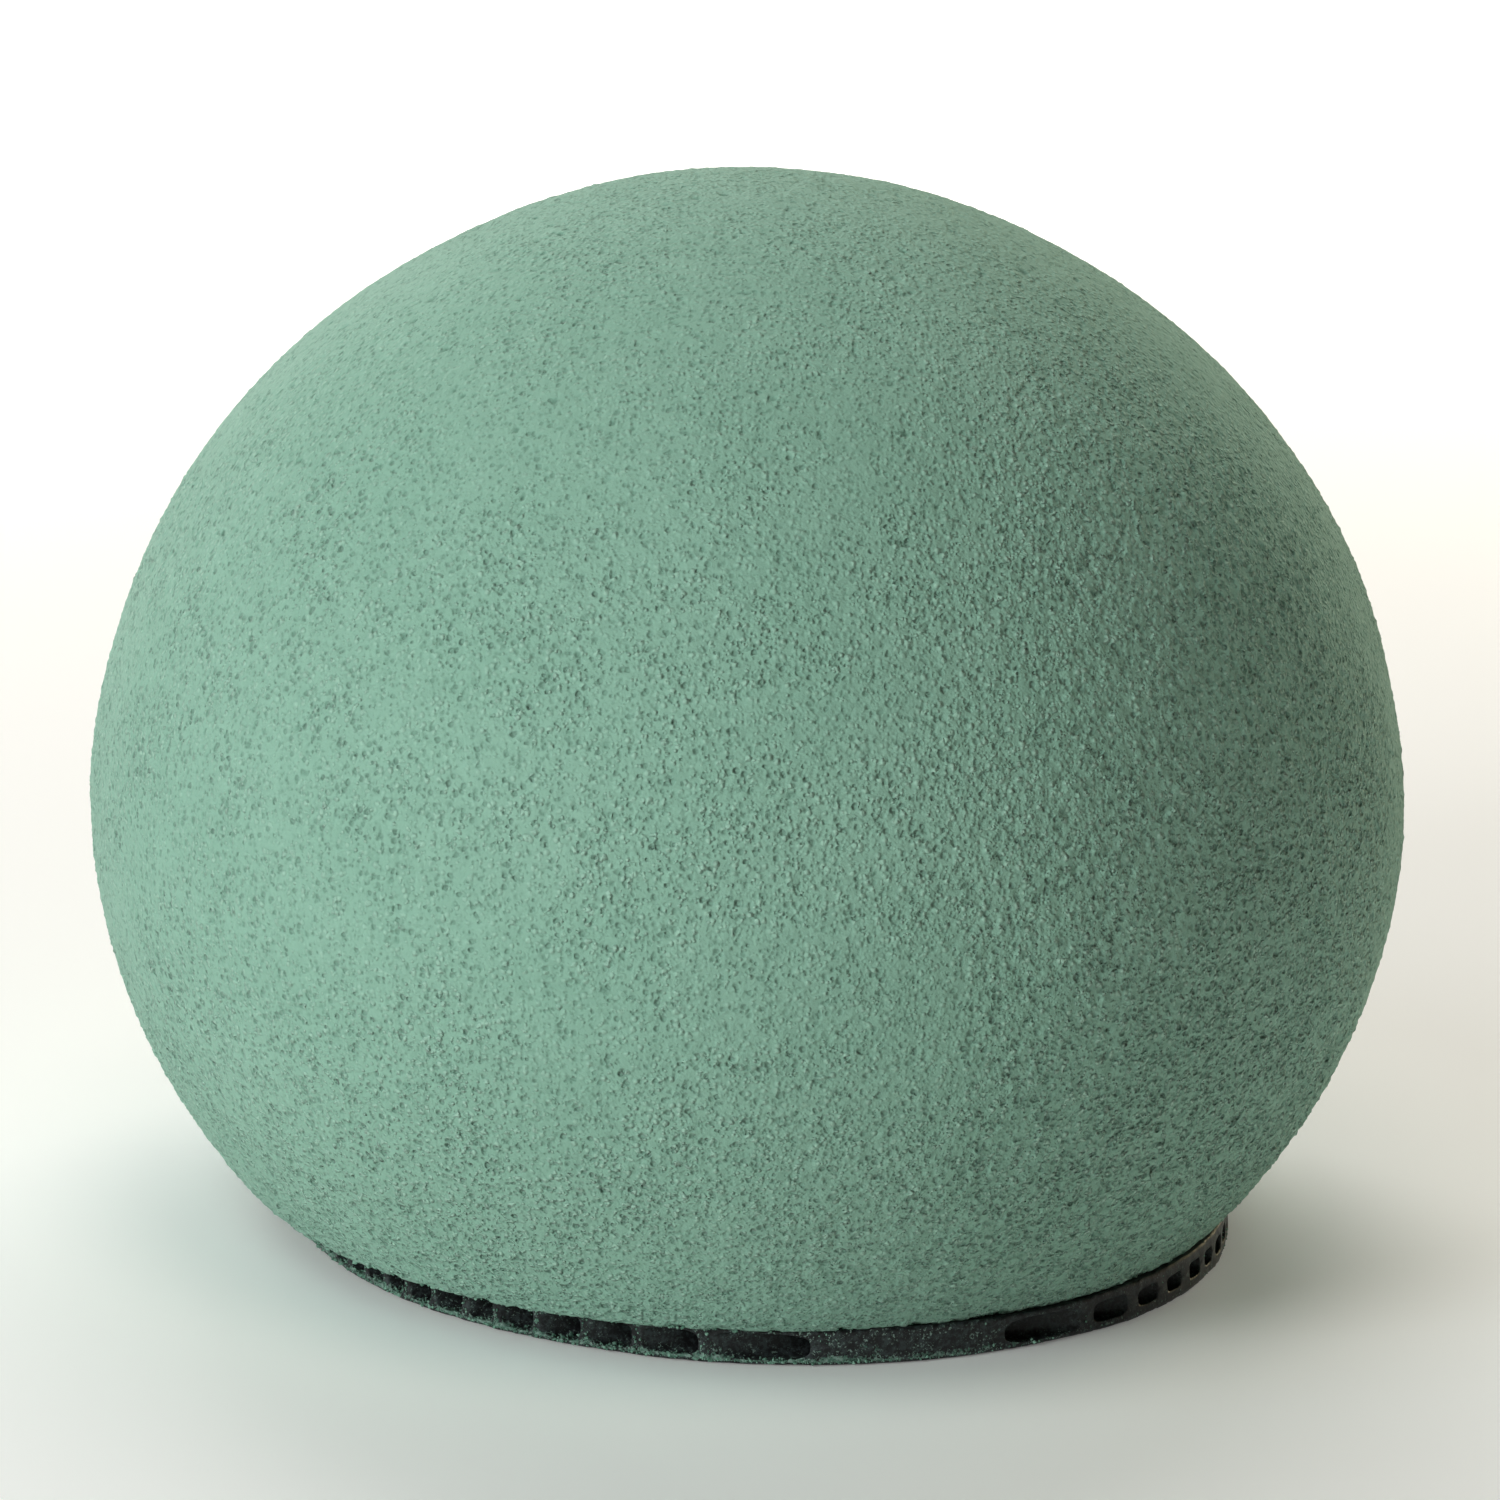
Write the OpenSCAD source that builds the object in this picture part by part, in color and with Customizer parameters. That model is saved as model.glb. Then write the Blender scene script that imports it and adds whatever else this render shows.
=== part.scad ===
// Domed floral foam form on a round fluted plastic base board.
// The foam dome is turned from one block and cut flat underneath.
// The dome's axis is Z, and the board lies on the plane z = 0.

/* [Foam dome] */
// Widest diameter of the foam
dome_d = 185; // [165:1:210]
// Height of the crown above the widest level
crown_h = 89.3; // [75:0.1:105]
// Height of the widest level above the table
waist_z = 59.5; // [50:0.1:68]
// Height over which the lower curve would close if it were not cut flat
lower_h = 85.5; // [80:0.1:110]
// Fullness of the upper curve, where 2 is an ellipse
upper_power = 1.985; // [1.9:0.005:2.3]
// Fullness of the lower curve, where 2 is an ellipse
lower_power = 1.94; // [1.9:0.005:2.3]

/* [Base board] */
// Diameter of the board
board_d = 134; // [120:1:138]
// Thickness of the board
board_t = 5; // [4:0.5:6]
// Thickness of its top and bottom skins
skin_t = 0.5; // [0.3:0.05:0.8]
// Thickness of the webs between the flutes
web_t = 0.45; // [0.3:0.05:0.8]
// Distance from one flute to the next
flute_pitch = 4.55; // [4:0.05:8]
// Direction of the flutes, turned from the X axis
flute_angle = 18; // [0:1:90]
// How far the board's centre is from the dome's axis, along X
board_x = 3.9; // [-5:0.1:5]
// How far the board's centre is from the dome's axis, along Y
board_y = -2.1; // [-5:0.1:5]

/* [Adhesive] */
// Width of each ring of hot-melt adhesive
bead_w = 6; // [3:0.5:8]
// Depth that the adhesive is pressed into the foam
bead_h = 1.2; // [0.6:0.1:2]
// Mean radius of the outer ring
outer_bead_r = 52; // [45:1:54]
// Mean radius of the inner ring
inner_bead_r = 28; // [20:1:34]
// Diameter of the dab in the middle
dab_d = 18; // [10:1:24]

/* [Hidden] */
$fn = 96;
dome_r = dome_d / 2;
board_r = board_d / 2;
cell_w = flute_pitch - web_t;
cell_h = board_t - 2 * skin_t;
last_flute = floor((board_r - cell_w / 2) / flute_pitch);
profile_steps = 32;
cut_margin = 1;

// Radius of the foam at height z above the widest level, and below it for a negative z
function foam_r(z) =
    let(h = z < 0 ? lower_h : crown_h, p = z < 0 ? lower_power : upper_power)
    dome_r * pow(1 - pow(min(1, abs(z) / h), p), 1 / p);

// Heights run from the cut underside to the waist, then close up towards the crown
function profile_heights() = let(cut_z = board_t - waist_z) [
    for (i = [0 : profile_steps - 1]) cut_z * (1 - i / profile_steps),
    for (i = [0 : profile_steps]) crown_h * sin(90 * i / profile_steps)
];

module on_board() {
    translate([board_x, board_y, board_t]) children();
}

module bead(mean_r) {
    rotate_extrude() translate([mean_r - bead_w / 2, 0]) square([bead_w, bead_h]);
}

module dab() {
    cylinder(d = dab_d, h = bead_h);
}

module foam_dome() {
    heights = profile_heights();
    color([0.51, 0.69, 0.61])
    difference() {
        translate([0, 0, waist_z])
        rotate_extrude()
        polygon([
            [0, heights[0]],
            for (z = heights) [foam_r(z), z]
        ]);
        on_board() {
            bead(outer_bead_r);
            bead(inner_bead_r);
            dab();
        }
    }
}

module base_board() {
    color([0.10, 0.10, 0.10])
    translate([board_x, board_y, 0])
    difference() {
        cylinder(r = board_r, h = board_t);
        rotate([0, 0, flute_angle])
        for (i = [-last_flute : last_flute])
        translate([-board_r - cut_margin, i * flute_pitch - cell_w / 2, skin_t])
        cube([board_d + 2 * cut_margin, cell_w, cell_h]);
    }
}

module glue_bead_outer() {
    color([0.87, 0.84, 0.74]) on_board() bead(outer_bead_r);
}

module glue_bead_inner() {
    color([0.87, 0.84, 0.74]) on_board() bead(inner_bead_r);
}

module glue_dab_centre() {
    color([0.87, 0.84, 0.74]) on_board() dab();
}

foam_dome();
base_board();
glue_bead_outer();
glue_bead_inner();
glue_dab_centre();
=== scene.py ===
"""Looks for a floral foam dome glued to a round fluted plastic board.

Meshes are worked out in millimetres in the row's frame and scaled to metres at the end.
"""

import math

import bmesh
import bpy
import numpy as np
from mathutils import Matrix, Vector


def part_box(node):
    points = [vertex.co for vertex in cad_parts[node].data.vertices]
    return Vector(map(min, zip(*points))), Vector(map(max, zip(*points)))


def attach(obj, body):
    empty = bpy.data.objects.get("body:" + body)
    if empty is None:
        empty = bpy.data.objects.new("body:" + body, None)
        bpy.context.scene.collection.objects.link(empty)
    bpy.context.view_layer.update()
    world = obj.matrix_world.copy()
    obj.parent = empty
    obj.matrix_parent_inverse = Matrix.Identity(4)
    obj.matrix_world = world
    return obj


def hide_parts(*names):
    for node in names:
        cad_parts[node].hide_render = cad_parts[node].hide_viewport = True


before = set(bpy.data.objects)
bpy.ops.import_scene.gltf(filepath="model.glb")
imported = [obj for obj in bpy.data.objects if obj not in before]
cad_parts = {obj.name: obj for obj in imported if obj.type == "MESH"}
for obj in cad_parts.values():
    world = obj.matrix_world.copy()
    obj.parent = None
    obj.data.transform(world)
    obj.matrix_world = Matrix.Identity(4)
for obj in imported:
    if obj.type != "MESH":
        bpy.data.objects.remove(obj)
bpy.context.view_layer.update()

MM = 0.001

# ---------------------------------------------------------------- sizes, in millimetres

foam_low, foam_high = (np.array(c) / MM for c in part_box("foam_dome"))
board_low, board_high = (np.array(c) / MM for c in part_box("base_board"))
bead_low, bead_high = (np.array(c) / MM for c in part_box("glue_bead_outer"))
inner_low, inner_high = (np.array(c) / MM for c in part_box("glue_bead_inner"))
dab_low, dab_high = (np.array(c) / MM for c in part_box("glue_dab_centre"))

DOME_R = float(foam_high[0] - foam_low[0]) / 2
WAIST_Z = 59.5  # height of the widest level
CROWN_H = foam_high[2] - WAIST_Z
LOWER_H = 85.5  # height over which the lower curve would close
UPPER_POWER, LOWER_POWER = 1.985, 1.94
CUT_Z = foam_low[2]  # the foam's flat underside

BOARD_CENTRE = (board_low + board_high)[:2] / 2
BOARD_R = float(board_high[0] - board_low[0]) / 2
BOARD_T = float(board_high[2])
FLUTE_PITCH = 4.55
FLUTE_ANGLE = math.radians(18)
SKIN_T, WEB_T = 0.5, 0.45

BEAD_W = 6.0
GLUE_H = bead_high[2] - bead_low[2]
BEAD_RADII = (
    (bead_high[0] - bead_low[0]) / 2 - BEAD_W / 2,
    (inner_high[0] - inner_low[0]) / 2 - BEAD_W / 2,
)
DAB_R = (dab_high[0] - dab_low[0]) / 2

# on the underside, rings within the first radius follow the board's centre, and those beyond the
# second one the dome's
BOARD_RINGS_R, DOME_RINGS_R = 57, 69
UNDER_GAP = 1.6  # spacing of the foam's points where the adhesive's grooves are

# how many crumbs are tried: on the lower lip, at the foam's edge, in each mouth and on each web
LIP_CRUMBS, EDGE_CRUMBS, MOUTH_CRUMBS, WEB_CRUMBS = 2000, 1500, 26, 16

VIEW_RISE = 14.97  # degrees that the camera looks down by
VIEW_LEAN = 2.08  # degrees that the camera leans by
VIEW_DISTANCE = 10  # dome radii from the camera to the middle of the waist
VIEW_AIM = 0.0779  # dome radii that the camera aims above the middle of the waist
VIEW_SHARE = 0.8703  # share of the frame's width that two dome radii take at that distance
SENSOR = 36.0

# ---------------------------------------------------------------- noise


class Noise:
    """Repeatable gradient noise, from about -1 to 1, at an array of points."""

    def __init__(self, seed):
        rng = np.random.default_rng(seed)
        self.order = rng.permutation(256)
        g = rng.normal(size=(256, 3))
        self.slopes = g / np.linalg.norm(g, axis=1, keepdims=True)
        self.spots = rng.random((256, 4))

    def key(self, i, j, k):
        o = self.order
        return o[(o[(o[i & 255] + j) & 255] + k) & 255]

    def __call__(self, points, size):
        q = points / size
        low = np.floor(q)
        f = q - low
        i, j, k = low.astype(int).T
        fade = f * f * f * (f * (f * 6 - 15) + 10)
        total = np.zeros(len(q))
        for a in (0, 1):
            for b in (0, 1):
                for c in (0, 1):
                    corner = np.array([a, b, c])
                    weight = np.prod(np.where(corner, fade, 1 - fade), axis=1)
                    slope = self.slopes[self.key(i + a, j + b, k + c)]
                    total += weight * ((f - corner) * slope).sum(1)
        return total * 1.7

    def cells(self, points, size):
        """Distance to the nearest scattered spot, in cells, and that spot's own number from 0 to 1."""
        q = points / size
        low = np.floor(q)
        i, j, k = low.astype(int).T
        best = np.full(len(q), 9.0)
        label = np.zeros(len(q))
        for a in (-1, 0, 1):
            for b in (-1, 0, 1):
                for c in (-1, 0, 1):
                    spot = self.spots[self.key(i + a, j + b, k + c)]
                    d = np.linalg.norm(low + (a, b, c) + spot[:, :3] - q, axis=1)
                    closer = d < best
                    best = np.where(closer, d, best)
                    label = np.where(closer, spot[:, 3], label)
        return best, label


def smooth(x, low, high):
    t = np.clip((x - low) / (high - low), 0, 1)
    return t * t * (3 - 2 * t)


# ---------------------------------------------------------------- mesh helpers


def make_piece(name, verts_mm, faces, smooth_shading=True):
    mesh = bpy.data.meshes.new(name)
    mesh.from_pydata(
        np.asarray(verts_mm) * MM, [], faces if isinstance(faces, list) else faces.tolist()
    )
    mesh.validate()
    mesh.polygons.foreach_set("use_smooth", [smooth_shading] * len(mesh.polygons))
    mesh.update()
    piece = bpy.data.objects.new(name, mesh)
    bpy.context.scene.collection.objects.link(piece)
    return piece


def add_values(piece, name, values):
    """Stores one number for each vertex, for the material to read."""
    layer = piece.data.attributes.new(name, "FLOAT", "POINT")
    layer.data.foreach_set("value", np.asarray(values, np.float32))


def ring_counts(radii, spacing, most):
    """Points on each ring, halved or doubled from ring to ring where the spacing asks for it."""
    counts = []
    for r, gap in zip(radii, spacing):
        n = most
        while n > 9 and 2 * math.pi * r / n < 0.62 * gap:
            n //= 2
        counts.append(n)
    peak = counts.index(max(counts))
    for order in (range(peak + 1, len(counts)), range(peak - 1, -1, -1)):
        last = counts[peak]
        for m in order:
            counts[m] = max(counts[m], last // 2)
            last = counts[m]
    return counts


def ring_faces(counts):
    """Faces between stacked rings, each with as many points as its neighbour, half or twice."""
    faces, start = [], 0
    for a, b in zip(counts, counts[1:]):
        lo, hi = start, start + a
        if a == b:
            for m in range(a):
                n = (m + 1) % a
                faces.append((lo + m, lo + n, hi + n, hi + m))
        elif a == 2 * b:
            for m in range(b):
                n = (m + 1) % b
                p, q, r = lo + 2 * m, lo + 2 * m + 1, lo + (2 * m + 2) % a
                faces += [(p, q, hi + m), (q, hi + n, hi + m), (q, r, hi + n)]
        else:
            for m in range(a):
                n = (m + 1) % a
                p, q, r = hi + 2 * m, hi + 2 * m + 1, hi + (2 * m + 2) % b
                faces += [(lo + m, q, p), (lo + m, lo + n, q), (lo + n, r, q)]
        start += a
    return faces


# ---------------------------------------------------------------- foam dome


def foam_radius(height):
    """Radius at a height above the waist, or below it for a negative height."""
    h = np.asarray(height, float)
    size = np.where(h < 0, LOWER_H, CROWN_H)
    power = np.where(h < 0, LOWER_POWER, UPPER_POWER)
    return DOME_R * (1 - np.clip(np.abs(h) / size, 0, 1) ** power) ** (1 / power)


def foam_profile(gap):
    """Points up the foam's side, evenly spaced, from the cut edge to just short of the crown."""
    low = CUT_Z - WAIST_Z
    turn = np.linspace(0, math.pi / 2, 4000)
    h = np.concatenate([np.linspace(low, 0, 4000)[:-1], CROWN_H * np.sin(turn)])
    r = foam_radius(h)
    length = np.concatenate([[0], np.cumsum(np.hypot(np.diff(r), np.diff(h)))])
    at = np.linspace(0, length[-1] - gap, int(length[-1] / gap))
    return np.interp(at, length, r), np.interp(at, length, h) + WAIST_Z


def underside_profile(gap):
    """Radius and height from the underside's middle to its edge, with grooves for the adhesive."""
    roof = CUT_Z + GLUE_H
    points = [(2, roof), (5, roof), (DAB_R, roof), (DAB_R, CUT_Z)]
    for mean in sorted(BEAD_RADII):
        inner, outer = mean - BEAD_W / 2, mean + BEAD_W / 2
        points += [(inner - 3, CUT_Z), (inner, CUT_Z), (inner, roof)]
        points += [(mean, roof), (outer, roof), (outer, CUT_Z)]
    edge = foam_radius(CUT_Z - WAIST_Z)
    points += [(r, CUT_Z) for r in np.arange(BOARD_RINGS_R, edge - 0.4, 1.5 * gap)]
    return np.array(points).T


def foam_relief(points):
    """For each point, how far it stands out in millimetres, how deep it lies in the pits, which the
    material paints as shade, and how rough the foam is there."""
    z = points[:, 2]
    shape, grain, lines = Noise(11), Noise(23), Noise(5)
    warp = np.stack([shape(points + s, 9.0) for s in (0, 40, 80)], axis=1)
    p = points + 1.2 * warp
    crown = smooth(z, 126, 143)

    # rubbing has left rougher and smoother patches: smoother on top, rougher at the front right
    rough = 0.65 + 0.55 * smooth(shape(points + 200, 17) + 0.7 * shape(points + 300, 6), -0.8, 0.8)
    rough *= 1 - 0.3 * smooth(z, 100, 125)
    rough += 0.5 * smooth(-z, -55, -20)
    rough += 1.05 * smooth(points[:, 0], 10, 60) * smooth(-points[:, 1], 10, 45)
    # the grain, with short streaks that lean to the right where the surface was rubbed
    lean = np.array([[0.42, 0.0, 0.91], [0.0, 1.0, 0.0], [-0.91, 0.0, 0.42]])
    streaks = grain((p @ lean.T) / np.array([2.4, 1.0, 1.0]) + 300, 0.9)
    relief = 0.06 * grain(p, 0.56) + 0.10 * grain(p + 100, 0.95)
    relief += 0.06 * grain(p + 150, 2.2) + 0.05 * streaks
    # crumbs that stand up and hollows where others have come out
    for size, height in ((1.3, 0.55), (0.85, 0.45)):
        near, label = grain.cells(p + 1000 * size, size)
        relief += height * (label - 0.42) * smooth(0.65 - near, 0, 0.55)
    relief *= 0.58 * rough

    # open pores: crowded small ones and a few wider ones
    near, label = grain.cells(p + 500, 1.6)
    relief -= 0.13 * smooth(0.40 - near, 0, 0.25) * smooth(label, 0.5, 0.8)
    near, label = grain.cells(p + 700, 3.4)
    relief -= 0.30 * smooth(0.10 + 0.12 * label - near, 0, 0.12) * (label > 0.6)

    # turning marks round the crown
    radius = np.hypot(points[:, 0], points[:, 1]) + 0.8 * warp[:, 0]
    broken = smooth(shape(points + 800, 14), -0.35, 0.35)
    rounds = np.stack([radius * 0, radius * 0 + 5, radius], axis=1)
    relief += 0.12 * crown * broken * lines(rounds, 1.8)
    # and pits torn along them
    turn = np.arctan2(points[:, 1], points[:, 0])
    torn = np.stack([16 * np.cos(turn), 16 * np.sin(turn), radius], axis=1)
    near, label = grain.cells(torn + 1300, 1.3)
    relief -= 0.25 * crown * broken * smooth(0.42 - near, 0, 0.25) * smooth(label, 0.5, 0.9)
    # level bands down the side, and the faint step where the two turned halves meet
    height = z + 0.5 * shape(points + 600, 12)
    level = np.stack([height * 0, height * 0, height], axis=1)
    relief += 0.03 * lines(level, 2.3) * (1 - crown)
    waist = height - WAIST_Z + 1.5
    relief += 0.09 * smooth(waist, -1, 1) * smooth(14 - waist, 0, 14) * broken
    relief -= 0.10 * np.exp(-((waist / 0.9) ** 2)) * broken

    # the material paints shade in the pits by this depth
    depth = np.clip(-relief / (0.20 + 0.20 * rough), 0, 1)
    relief += 0.32 * shape(points + 400, 46) + 0.13 * shape(points + 500, 19)
    return relief, depth, rough


def crumbled_edge(points):
    """How far the sawn lower edge has crumbled back, in millimetres."""
    chips = Noise(31)
    height = points[:, 2] - CUT_Z
    bitten = smooth(chips(points, 2.2) + 0.7 * chips(points + 60, 1.0), -0.2, 0.9)
    reach = 1.1 + 0.9 * chips(points + 90, 6.0)
    return 0.9 * bitten * smooth(reach - height, 0, 0.9)


def build_foam():
    # the spacing of the rings up the side, and the points on the widest
    gap, most = ((0.45, 1280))
    side_r, side_z = foam_profile(gap)
    under_r, under_z = underside_profile(gap)
    under = len(under_r)
    radii, heights = np.append(under_r, side_r), np.append(under_z, side_z)
    spacing = np.where(radii < BOARD_RINGS_R, UNDER_GAP, gap)
    spacing[under:] = gap
    counts = ring_counts(radii, spacing, most)

    ring = np.repeat(np.arange(len(counts)), counts)
    angle = np.concatenate([2 * math.pi * np.arange(n) / n for n in counts])
    outward = np.stack([np.cos(angle), np.sin(angle), 0 * angle], axis=1)
    r, on_side = radii[ring], ring >= under
    shift = np.where(on_side, 0, 1 - smooth(r, BOARD_RINGS_R, DOME_RINGS_R))
    points = outward * r[:, None]
    points[:, :2] += shift[:, None] * BOARD_CENTRE
    points[:, 2] = heights[ring]

    slope_r = np.concatenate([np.zeros(under), np.gradient(side_r)])[ring]
    slope_z = np.concatenate([np.zeros(under), np.gradient(side_z)])[ring]
    normals = outward * slope_z[:, None]
    normals[:, 2] = np.where(on_side, -slope_r, -1)
    normals /= np.linalg.norm(normals, axis=1, keepdims=True)

    relief, depth, rough = foam_relief(points)
    start = np.clip((ring - under) / 3, 0, 1)
    sawn = np.minimum(relief - 0.1, 0) * smooth(r, 56, 60)
    relief = np.where(on_side, relief * start, sawn)
    back = crumbled_edge(points) * (ring >= under - 3)
    moved = points + normals * relief[:, None] - outward * back[:, None]

    crown, last = len(moved), len(moved) - counts[-1]
    faces = ring_faces(counts)
    faces.append(tuple(reversed(range(counts[0]))))
    faces += [(last + m, last + (m + 1) % counts[-1], crown) for m in range(counts[-1])]
    top = [[0, 0, moved[last:, 2].mean()]]
    piece = make_piece("turned_foam_dome", np.vstack([moved, top]), faces)
    # depth in the pits, which the material paints as shade
    add_values(piece, "pit_shade", np.append(depth, 0))
    # where this is high, as low down and at the front right, the material paints more highlight on the
    # grain tops and less shade in the pits
    add_values(piece, "rough", np.append(rough, 1))
    return piece


# ---------------------------------------------------------------- fluted board


def flute_walls():
    """Where each flute starts and ends across the board, with slightly uneven webs between them."""
    rng = np.random.default_rng(7)
    last = math.floor((BOARD_R - (FLUTE_PITCH - WEB_T) / 2) / FLUTE_PITCH)
    webs = (np.arange(-last, last + 2) - 0.5) * FLUTE_PITCH
    webs += rng.uniform(-0.25, 0.25, len(webs))
    half = WEB_T / 2 * rng.uniform(0.85, 1.35, len(webs))
    return list(zip((webs + half)[:-1], (webs - half)[1:]))


class Board:
    """The board in its own millimetres, with u across its flutes and v along them.

    It is a row of columns along u, each with four lines along v: underside, flute floor, flute
    ceiling and top.
    """

    STATIONS = 24  # steps along each line, from one rim to the other
    RIM_STEPS = 5  # steps up each lip of the rim

    def __init__(self):
        self.verts, self.faces, self.index = [], [], {}
        self.noise = Noise(47)
        self.columns = self.make_columns()
        self.build()

    def make_columns(self):
        """Each column's two flute walls, its place between them and how open the flute is there.

        The last is None in solid plastic.
        """
        walls = flute_walls()
        edge = math.acos(walls[-1][1] / BOARD_R)
        solid = [BOARD_R * math.cos(edge * (1 - m / 6)) for m in range(1, 7)]
        columns = [(-u, -u, 0.5, None) for u in reversed(solid)]
        for n, (left, right) in enumerate(walls):
            far = max(abs(left), abs(right)) / BOARD_R
            steps = 10 + int(18 * max(0, far - 0.75) / 0.25)
            for m in range(steps + 1):
                t = (1 - math.cos(math.pi * m / steps)) / 2
                share = 0.0 if m in (0, steps) else (1 - abs(2 * t - 1) ** 3.6) ** (1 / 3.6)
                columns.append((left, right, t, share))
            if n + 1 < len(walls):
                web = (right + walls[n + 1][0]) / 2
                columns.append((web, web, 0.5, None))
        return columns + [(u, u, 0.5, None) for u in solid]

    def kept(self, u, along):
        """How much of its height a flute keeps near the rim, where the saw has smeared its mouth."""
        side = 1 if along > 0 else -1
        chord = math.sqrt(max(0.0, BOARD_R**2 - u * u))
        depth = chord * (1 - abs(along))
        spot = np.array([[u, side * 40.0, 0.0]])
        x = side * chord * math.cos(FLUTE_ANGLE) - u * math.sin(FLUTE_ANGLE)
        # uneven all round, and more on the far right
        smear = 0.10 - 0.10 * float(self.noise(spot, 7.0)[0]) + 0.36 * smooth(x, 44, 56)
        return 1 - smear * math.exp(-((depth / 0.9) ** 2))

    def place(self, column, line, station, lip):
        left, right, t, share = column
        along = -math.cos(math.pi * station / self.STATIONS)
        middle, mid = (left + right) / 2, BOARD_T / 2
        kept = 1.0 if share is None else self.kept(middle, along)
        u = middle + (t - 0.5) * (right - left) * (0.4 + 0.6 * kept)
        share = share or 0.0
        opening = (mid - SKIN_T) * share * kept
        sunk = 0.045 * share  # the skins sink a little over each flute
        low, high = sunk, BOARD_T - sunk
        z = {"under": low, "floor": mid - opening, "ceiling": mid + opening, "top": high}[line]
        if lip:
            z += ((low if line == "floor" else high) - z) * lip / self.RIM_STEPS
        return u, math.sqrt(max(0.0, BOARD_R**2 - u * u)) * along, z

    def vertex(self, j, line, station, lip=0):
        column = self.columns[j]
        if lip == self.RIM_STEPS:
            line, lip = {"floor": "under", "ceiling": "top"}[line], 0
        if not column[3] and line == "ceiling" and not lip:
            line = "floor"  # a closed flute has one line at mid height
        if j in (0, len(self.columns) - 1):
            station = 0
        key = (j, line, station, lip)
        if key not in self.index:
            self.index[key] = len(self.verts)
            self.verts.append(self.place(column, line, station, lip))
        return self.index[key]

    def quad(self, corners, turned):
        kept = [c for n, c in enumerate(corners) if c != corners[n - 1]]
        if len(kept) >= 3:  # u, v and z are left-handed, so the corners run the other way
            self.faces.append(tuple(kept if turned else reversed(kept)))

    def build(self):
        sheets = (("under", True), ("top", False), ("floor", False), ("ceiling", True))
        for j in range(len(self.columns) - 1):
            solid = self.columns[j][3] is None or self.columns[j + 1][3] is None
            for line, turned in sheets:
                if solid and line in ("floor", "ceiling"):
                    continue
                for k in range(self.STATIONS):
                    ends = ((j, k), (j + 1, k), (j + 1, k + 1), (j, k + 1))
                    self.quad([self.vertex(a, line, b) for a, b in ends], turned)
            for station in (0, self.STATIONS):
                for line in ("floor", "ceiling"):
                    for s in range(self.RIM_STEPS):
                        ends = ((j, s), (j + 1, s), (j + 1, s + 1), (j, s + 1))
                        corners = [self.vertex(a, line, station, b) for a, b in ends]
                        self.quad(corners, (line == "floor") == (station == 0))


def to_row_frame(points):
    """Turns the board's own u, v and z, which are left-handed, into the row's frame."""
    c, s = math.cos(FLUTE_ANGLE), math.sin(FLUTE_ANGLE)
    u, v, z = points.T
    x, y = v * c - u * s, v * s + u * c
    return np.stack([x + BOARD_CENTRE[0], y + BOARD_CENTRE[1], z], axis=1)


def rough_rim(points):
    """Saw marks, a slight burr and worn corners on the cut rim."""
    noise = Noise(53)
    u, v, z = points.T
    r = np.hypot(u, v)
    rim = smooth(r, BOARD_R - 0.5, BOARD_R - 0.02)
    x = v * math.cos(FLUTE_ANGLE) - u * math.sin(FLUTE_ANGLE)
    lean = 0.6 * noise(np.stack([u, v * 0.1, 0 * z], axis=1), 7.0) + 0.9 * smooth(x, 40, 56)
    shift = lean * (z / BOARD_T - 0.5) * smooth(r, BOARD_R - 5, BOARD_R)
    corner = np.minimum(z, BOARD_T - z)
    back = 0.12 + 0.16 * smooth(0.45 - corner, 0, 0.45)
    marks = 0.10 * noise(np.stack([u, v, z * 0.6], axis=1), 1.3)
    waves = 0.12 * noise(np.stack([u, v, 0 * z], axis=1), 8.0)
    scale = 1 + rim * (marks + waves - back) / BOARD_R
    z = z + rim * 0.09 * noise(points + 50, 1.6) * (corner > 0.02)
    return np.stack([(u + shift) * scale, v * scale, z], axis=1)


def rim_dust(points):
    """How thickly foam dust lies at each point of the board, from 0 to 1."""
    u, v, z = points.T
    depth = BOARD_R - np.hypot(u, v)
    x = v * math.cos(FLUTE_ANGLE) - u * math.sin(FLUTE_ANGLE)
    lip = smooth(z, 0.16, 0.40) * (1 - 0.55 * smooth(z, 0.7, 1.6))
    inside = np.exp(-np.clip(depth, 0, None) / 2.5)
    skin = (z > 0.08) * (1 - smooth(z, 4.90, 4.96) * 0.3)
    return lip * inside * skin * (1 - 0.6 * smooth(x, 15, 50))


def build_board():
    board = Board()
    own = np.array(board.verts)
    piece = make_piece("fluted_board", to_row_frame(rough_rim(own)), board.faces)
    add_values(piece, "dust", rim_dust(own))
    return piece


# ---------------------------------------------------------------- foam crumbs on the rim


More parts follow.
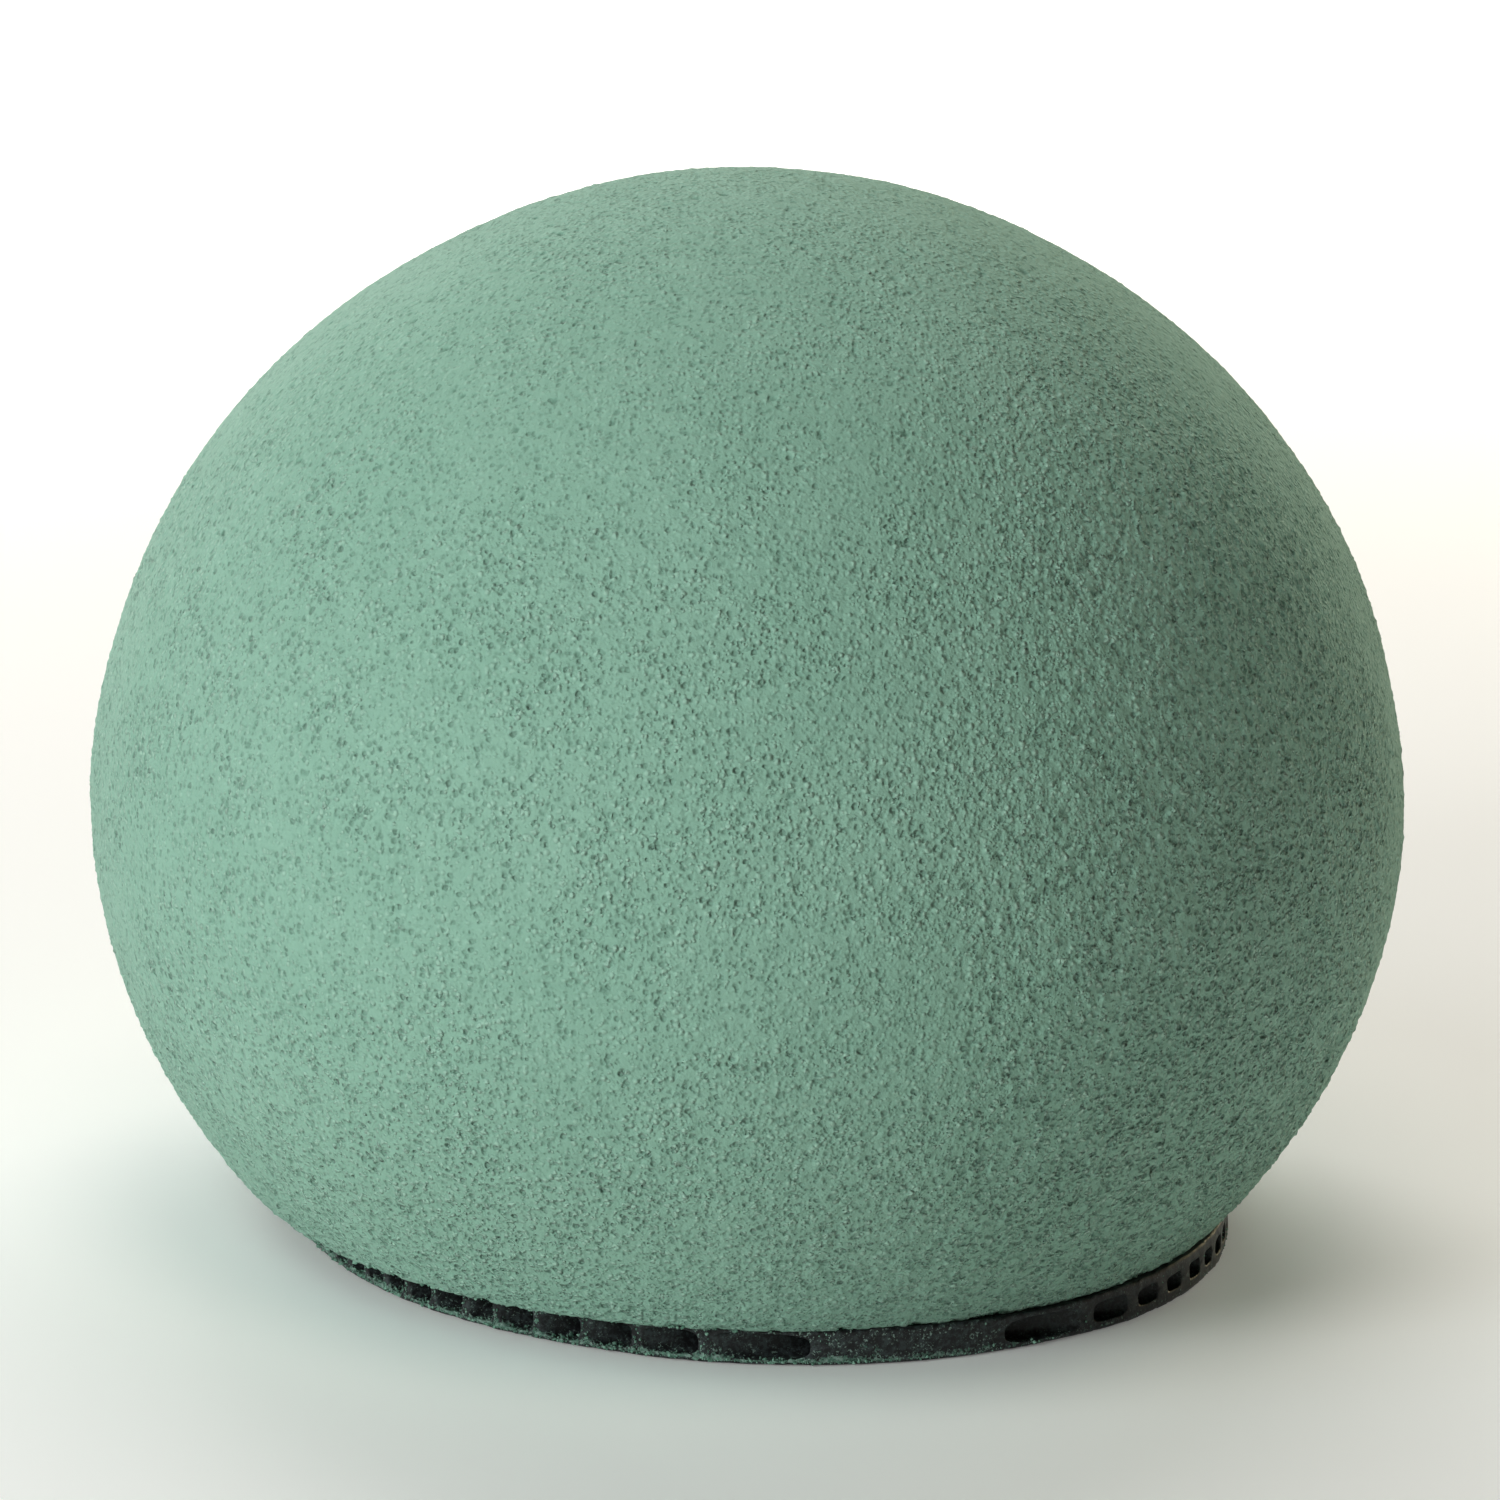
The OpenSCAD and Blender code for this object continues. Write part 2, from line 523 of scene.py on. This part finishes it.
def crumb_places(rng):
    """Place and size of each crumb, in the board's own millimetres.

    They lie on the lower lip, at the foam's edge, in the flutes' mouths and on the webs.
    """
    walls = flute_walls()
    places = []

    def add(u, v, z, size):
        places.append((u, v, z, size))

    def on_rim(angle, z, size):
        turn = angle - FLUTE_ANGLE
        add(-BOARD_R * math.cos(turn), BOARD_R * math.sin(turn), z, size)

    def size():
        return min(0.40, 0.13 * math.exp(0.45 * rng.normal()))

    def kept(angle):
        """Fewer crumbs on the right of the object than on its left."""
        return rng.random() < 1 - 0.93 * smooth(math.sin(angle) * BOARD_R, 5, 45)

    for _ in range(LIP_CRUMBS):
        angle = rng.uniform(-math.pi, math.pi)
        if kept(angle):
            on_rim(angle, rng.uniform(0.26, 0.62), size())
    edge = foam_radius(CUT_Z - WAIST_Z) - 0.45
    for _ in range(EDGE_CRUMBS):
        angle = rng.uniform(-math.pi, math.pi)
        x, y = edge * math.sin(angle) - BOARD_CENTRE[0], -edge * math.cos(angle) - BOARD_CENTRE[1]
        c, s = math.cos(FLUTE_ANGLE), math.sin(FLUTE_ANGLE)
        low = -0.15 if math.hypot(x, y) > BOARD_R else 0.05
        add(y * c - x * s, x * c + y * s, CUT_Z + rng.uniform(low, 0.25), 1.2 * size())
    for left, right in walls:
        for side in (-1, 1):
            for _ in range(MOUTH_CRUMBS):
                u = left + rng.uniform(0.15, 0.85) * (right - left)
                v = side * (math.sqrt(BOARD_R**2 - u * u) - 0.2 - rng.exponential(1.3))
                if kept(math.atan2(v, -u) + FLUTE_ANGLE):
                    add(u, v, SKIN_T + 0.25 + 0.05 * rng.random(), size())
            for _ in range(WEB_CRUMBS):
                u = left - WEB_T / 2 + rng.normal() * 0.16
                v = side * math.sqrt(BOARD_R**2 - u * u)
                if kept(math.atan2(v, -u) + FLUTE_ANGLE):
                    add(u, v, rng.uniform(0.5, 4.6), size())
    return places


def build_crumbs():
    rng = np.random.default_rng(19)
    model = bmesh.new()
    bmesh.ops.create_icosphere(model, subdivisions=1, radius=1.0)
    ball = np.array([v.co for v in model.verts])
    corners = np.array([[v.index for v in f.verts][::-1] for f in model.faces])
    model.free()
    verts, faces = [], []
    for u, v, z, size in crumb_places(rng):
        lump = ball * rng.uniform(0.55, 1.25, (len(ball), 1)) * rng.uniform(0.6, 1.2, 3)
        faces.append(corners + len(verts) * len(ball))
        verts.append(to_row_frame(lump * size + (u, v, z)))
    return make_piece("foam_crumbs", np.vstack(verts), np.vstack(faces), False)


# ---------------------------------------------------------------- hot-melt adhesive


def squeezed(name, radii, heights, closed):
    """Adhesive pressed flat, as rings round the board's centre at these radii and heights.

    Height 0 is on the board and 1 is against the foam.
    """
    noise = Noise(61)
    turns = np.linspace(0, 2 * math.pi, 241)[:-1]
    n = len(turns)
    verts, faces = [], []
    for k, (r, h) in enumerate(zip(radii, heights)):
        spot = np.stack([r * np.cos(turns), r * np.sin(turns), 0 * turns], axis=1)
        edge = r + 0.25 * noise(spot + r, 3.5)
        z = CUT_Z + GLUE_H * h * (0.96 + 0.06 * noise(spot + 30, 2.2))
        verts.append(np.stack([edge * np.cos(turns), edge * np.sin(turns), z], axis=1))
        if k + 1 < len(radii) or closed:
            low, high = k * n, (k + 1) % len(radii) * n
            faces += [(low + m, low + (m + 1) % n, high + (m + 1) % n, high + m) for m in range(n)]
    if not closed:
        last = (len(radii) - 1) * n
        faces += [tuple(reversed(range(n))), tuple(range(last, last + n))]
    verts = np.vstack(verts)
    verts[:, :2] += BOARD_CENTRE
    return make_piece(name, verts, faces)


def build_glue():
    beads = []
    for node, mean in zip(("glue_bead_outer", "glue_bead_inner"), BEAD_RADII):
        across = np.array([0.91, 0.86, 0.55, 0, -0.55, -0.86, -0.91, -0.86, -0.55, 0, 0.55, 0.86])
        heights = (0.5, 0.9, 1, 1, 1, 0.9, 0.5, 0.08, 0, 0, 0, 0.08)
        radii = mean + across * BEAD_W / 2
        beads.append((node, squeezed(node.replace("glue", "pressed"), radii, heights, True)))
    radii = DAB_R * np.array([0.05, 0.3, 0.6, 0.85, 0.93, 0.96, 0.93, 0.85, 0.6, 0.3, 0.05])
    heights = (0, 0, 0, 0, 0.1, 0.5, 0.9, 1, 1, 1, 1)
    beads.append(("glue_dab_centre", squeezed("pressed_dab_centre", radii, heights, False)))
    return beads


# ---------------------------------------------------------------- materials


class Nodes:
    """A short way to write a node tree. A value may be a constant or another node's socket."""

    def __init__(self, name):
        self.material = bpy.data.materials.new(name)
        self.material.use_nodes = True
        self.tree = self.material.node_tree
        self.shader = self.tree.nodes["Principled BSDF"]

    def set(self, socket, value):
        if isinstance(value, bpy.types.NodeSocket):
            self.tree.links.new(value, socket)
        else:
            socket.default_value = value

    def add(self, kind, **values):
        node = self.tree.nodes.new(kind)
        for key, value in values.items():
            if hasattr(node, key) and key not in node.inputs:
                setattr(node, key, value)
            else:
                self.set(node.inputs[key], value)
        return node

    def math(self, operation, a, b=0.0, c=0.0):
        node = self.tree.nodes.new("ShaderNodeMath")
        node.operation = operation
        for n, value in enumerate((a, b, c)):
            self.set(node.inputs[n], value)
        return node.outputs[0]

    def place(self):
        return self.add("ShaderNodeTexCoord").outputs["Object"]

    def noise(self, size_mm, detail=2.0, roughness=0.5):
        node = self.add(
            "ShaderNodeTexNoise",
            Vector=self.place(),
            Scale=1 / (size_mm * MM),
            Detail=detail,
            Roughness=roughness,
        )
        return node.outputs["Fac"]

    def lumps(self, size_mm):
        """Scattered grains, above 0, and hollows, below 0."""
        node = self.add("ShaderNodeTexVoronoi", Vector=self.place(), Scale=1 / (size_mm * MM))
        height = self.math("SUBTRACT", node.outputs["Color"], 0.5)
        return self.math("MULTIPLY", height, self.fade(node.outputs["Distance"], 0.65, 0.10))

    def fade(self, value, low, high):
        node = self.add("ShaderNodeMapRange", Value=value)
        node.inputs["From Min"].default_value = low
        node.inputs["From Max"].default_value = high
        node.interpolation_type = "SMOOTHSTEP"
        return node.outputs["Result"]

    def mix(self, share, a, b):
        node = self.tree.nodes.new("ShaderNodeMix")
        node.data_type = "RGBA"
        for n, value in ((0, share), (6, a), (7, b)):  # the colour version's sockets
            self.set(node.inputs[n], value)
        return node.outputs[2]

    def bump(self, height, distance_mm, strength, below=None):
        node = self.add("ShaderNodeBump", Height=height)
        node.inputs["Distance"].default_value = distance_mm * MM
        node.inputs["Strength"].default_value = strength
        if below:
            self.tree.links.new(below, node.inputs["Normal"])
        return node.outputs["Normal"]

    def finish(self, colour, roughness, normal=None, **fixed):
        self.set(self.shader.inputs["Base Color"], colour)
        self.set(self.shader.inputs["Roughness"], roughness)
        if normal:
            self.set(self.shader.inputs["Normal"], normal)
        for socket, value in fixed.items():
            self.shader.inputs[socket.replace("_", " ")].default_value = value
        return self.material


FOAM = (0.258, 0.461, 0.356, 1)
FOAM_PALE = (0.322, 0.527, 0.420, 1)
# paler foam for the grain tops: fresh crumbs, and painted highlight where the grains catch the light
FOAM_FRESH_AND_HIGHLIGHT = (0.455, 0.700, 0.570, 1)
# a darker foam green for darker patches, dark dust and crumbs, and painted shade in the foam's hollows
# and pits
FOAM_DARK_AND_PIT_SHADE = (0.100, 0.215, 0.158, 1)
BLACK = (0.012, 0.012, 0.013, 1)
BLACK_WORN = (0.060, 0.078, 0.080, 1)
DUST = (0.330, 0.480, 0.410, 1)
GLUE = (0.72, 0.66, 0.50, 1)
GLUE_PALE = (0.80, 0.76, 0.62, 1)


def foam_material():
    n = Nodes("floral_foam")
    patch = n.fade(n.noise(26, 3, 0.6), 0.35, 0.65)
    mottle = n.fade(n.noise(3.2, 3, 0.6), 0.3, 0.7)
    grain = n.noise(0.75, 2, 0.6)
    lumps = n.math("MULTIPLY_ADD", n.lumps(0.55), 0.7, n.lumps(0.9))
    colour = n.mix(n.math("MULTIPLY", patch, 0.22), FOAM, FOAM_PALE)
    colour = n.mix(n.math("MULTIPLY", mottle, 0.10), colour, FOAM_DARK_AND_PIT_SHADE)
    # grain tops painted paler, partly as fresh crumbs and partly as painted highlight, more where the
    # foam is rough, and painted shade in the hollows and pits
    coarse = n.add("ShaderNodeAttribute", attribute_name="rough").outputs["Fac"]
    # paler grain tops: partly fresh crumbs, partly painted highlight, more where the foam is rough
    pale = n.math("MULTIPLY", n.fade(lumps, 0.04, 0.20), n.fade(coarse, -0.2, 2.2))
    colour = n.mix(n.math("MULTIPLY", pale, 0.75), colour, FOAM_FRESH_AND_HIGHLIGHT)
    # painted shade in the hollows between the grains
    colour = n.mix(n.math("MULTIPLY", n.fade(lumps, -0.02, -0.20), 0.42), colour, FOAM_DARK_AND_PIT_SHADE)
    # painted shade in the relief's pits, weaker where the foam is rough
    pit_shade = n.add("ShaderNodeAttribute", attribute_name="pit_shade").outputs["Fac"]
    pit_shade = n.math("MULTIPLY", n.fade(pit_shade, 0.1, 0.9), n.fade(coarse, 2.6, 0.4))
    colour = n.mix(n.math("MULTIPLY", pit_shade, 0.6), colour, FOAM_DARK_AND_PIT_SHADE)
    rough = n.math("MULTIPLY_ADD", grain, 0.10, 0.86)
    normal = n.bump(n.math("MULTIPLY", lumps, coarse), 0.98, 1.0)
    normal = n.bump(grain, 0.15, 1.0, below=normal)
    return n.finish(
        colour,
        rough,
        normal,
        Specular_IOR_Level=0.18,
        Sheen_Weight=0.12,
        Sheen_Roughness=0.6,
    )


def board_material():
    n = Nodes("black_fluted_plastic")
    scuffs = n.fade(n.noise(0.9, 4, 0.75), 0.44, 0.62)
    colour = n.mix(n.math("MULTIPLY", scuffs, 0.65), BLACK, BLACK_WORN)
    lie = n.add("ShaderNodeAttribute", attribute_name="dust").outputs["Fac"]
    # loose clusters of single grains of dust on the rim, and thick dust on its lower lip
    clusters = n.fade(n.noise(1.7, 2, 0.6), 0.44, 0.58)
    specks = n.math("MULTIPLY", n.fade(n.noise(0.36, 2, 0.7), 0.56, 0.66), clusters)
    specks = n.math("MULTIPLY", specks, n.fade(lie, 0.0, 0.5))
    colour = n.mix(n.math("MULTIPLY", specks, 0.85), colour, DUST)
    patches = n.math("MULTIPLY_ADD", n.noise(2.2, 2, 0.5), 0.9, n.noise(0.38, 2, 0.65))
    level = n.math("MULTIPLY_ADD", lie, 0.60, n.math("SUBTRACT", patches, 1.37))
    dusty = n.fade(level, 0.0, 0.14)
    dust = n.mix(n.fade(n.noise(0.7, 2, 0.6), 0.38, 0.64), FOAM_DARK_AND_PIT_SHADE, DUST)
    colour = n.mix(n.math("MULTIPLY", dusty, 0.75), colour, dust)
    rough = n.math("MULTIPLY_ADD", scuffs, 0.2, 0.36)
    rough = n.math("MULTIPLY_ADD", dusty, 0.4, rough)
    normal = n.bump(n.noise(0.5, 3, 0.6), 0.05, 0.6)
    normal = n.bump(dusty, 0.12, 0.8, below=normal)
    return n.finish(colour, rough, normal, Specular_IOR_Level=0.30)


def crumb_material():
    n = Nodes("foam_crumb")
    grain = n.noise(0.3, 2, 0.6)
    colour = n.mix(n.fade(n.noise(0.9, 1, 0.5), 0.40, 0.62), FOAM_DARK_AND_PIT_SHADE, FOAM)
    colour = n.mix(n.math("MULTIPLY", n.fade(grain, 0.35, 0.7), 0.5), colour, FOAM_PALE)
    normal = n.bump(grain, 0.05, 0.8)
    rough = n.math("MULTIPLY_ADD", grain, 0.08, 0.88)
    return n.finish(colour, rough, normal, Specular_IOR_Level=0.15)


def glue_material():
    n = Nodes("hot_melt_adhesive")
    cloud = n.noise(2.5, 3, 0.6)
    colour = n.mix(n.fade(cloud, 0.3, 0.7), GLUE, GLUE_PALE)
    normal = n.bump(n.noise(1.2, 2, 0.5), 0.08, 0.6)
    rough = n.math("MULTIPLY_ADD", cloud, 0.15, 0.28)
    return n.finish(colour, rough, normal, Subsurface_Weight=0.1)


def wear(piece, material):
    piece.data.materials.clear()
    piece.data.materials.append(material)


# ---------------------------------------------------------------- build


def show(piece, material, node=None):
    wear(piece, material)
    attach(piece, "root")
    if node:
        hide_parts(node)


show(build_foam(), foam_material(), "foam_dome")
show(build_board(), board_material(), "base_board")
show(build_crumbs(), crumb_material())
glue = glue_material()
for node, bead in build_glue():
    show(bead, glue, node)


# ---------------------------------------------------------------- stage, camera and light

HEART = Vector((0, 0, 0.07))


def toward(azimuth, elevation):
    """A direction in degrees: azimuth 0 is the front and 90 the right, and elevation is above
    the table."""
    a, e = math.radians(azimuth), math.radians(elevation)
    return Vector((math.sin(a) * math.cos(e), -math.cos(a) * math.cos(e), math.sin(e)))


def link(name, data):
    thing = bpy.data.objects.new(name, data)
    bpy.context.scene.collection.objects.link(thing)
    return thing


def make_camera():
    """Looks from the front and a little above, from far enough away for a flat perspective."""
    waist = Vector((0, 0, WAIST_Z * MM))
    camera = link("camera", bpy.data.cameras.new("camera"))
    place = waist + VIEW_DISTANCE * DOME_R * MM * toward(0, VIEW_RISE)
    aim = waist + VIEW_AIM * DOME_R * MM * toward(180, 90 - VIEW_RISE)
    turn = (aim - place).to_track_quat("-Z", "Y").to_matrix().to_4x4()
    roll = Matrix.Rotation(math.radians(VIEW_LEAN), 4, "Z")
    camera.matrix_world = Matrix.Translation(place) @ turn @ roll
    camera.data.sensor_width = SENSOR
    camera.data.lens = SENSOR * VIEW_SHARE * VIEW_DISTANCE / 2
    camera.data.clip_start = 0.01
    bpy.context.scene.camera = camera


def make_lamp(name, azimuth, elevation, size, watts, colour, distance=1.1, aim=HEART):
    """A round soft lamp, aimed at the dome unless told otherwise."""
    data = bpy.data.lights.new(name, "AREA")
    data.shape = "DISK"
    data.size = size
    data.energy = watts
    data.color = colour
    lamp = link(name, data)
    lamp.location = HEART + distance * toward(azimuth, elevation)
    lamp.rotation_euler = (aim - lamp.location).to_track_quat("-Z", "Y").to_euler()


# name, azimuth, elevation, size in metres, watts and colour, and for the last one, which lights
# the floor behind the dome, also its distance and aim
LAMPS = (
    ("key", -47.5, 17, 0.4, 6.2, (0.96, 1.0, 1.0)),
    ("key_high", -55, 50, 0.5, 1.7, (0.8, 0.95, 1.0)),
    ("fill", 105, 8, 0.4, 0.45, (1.0, 0.84, 0.65)),
    ("rim_left", -150, 18, 0.6, 3.6, (1.0, 0.95, 0.9)),
    ("rim_right", 142, 12, 0.6, 2.3, (1.0, 0.86, 0.50)),
    ("top", -5, 73, 0.5, 1.9, (1.0, 0.94, 0.80)),
    ("backdrop", 180, 45, 1.8, 31.0, (1.0, 0.97, 0.94), 2.3, Vector((0, 1.6, 0))),
)


def make_stage():
    bpy.ops.mesh.primitive_plane_add(size=8, location=(0, 0, -0.0002))
    floor = bpy.context.object
    floor.name = "studio_floor"
    n = Nodes("pale_floor")
    # the floor glows a little, and more far away, so that it stays pale to the horizon
    away = n.add("ShaderNodeVectorMath", operation="LENGTH", Vector=n.place()).outputs["Value"]
    glow = n.math("MULTIPLY_ADD", n.fade(away, 0.35, 1.3), 0.5, 0.12)
    n.set(n.shader.inputs["Emission Strength"], glow)
    n.set(n.shader.inputs["Emission Color"], (1.0, 1.0, 0.98, 1))
    wear(floor, n.finish((0.88, 0.88, 0.87, 1), 0.7, None, Specular_IOR_Level=0.1))
    world = bpy.data.worlds.new("studio")
    world.use_nodes = True
    sky = world.node_tree.nodes["Background"]
    sky.inputs["Color"].default_value = (1.0, 0.90, 0.75, 1)
    sky.inputs["Strength"].default_value = 0.025
    bpy.context.scene.world = world


make_camera()
make_stage()
for lamp in LAMPS:
    make_lamp(*lamp)
bpy.context.scene.view_settings.view_transform = "Standard"
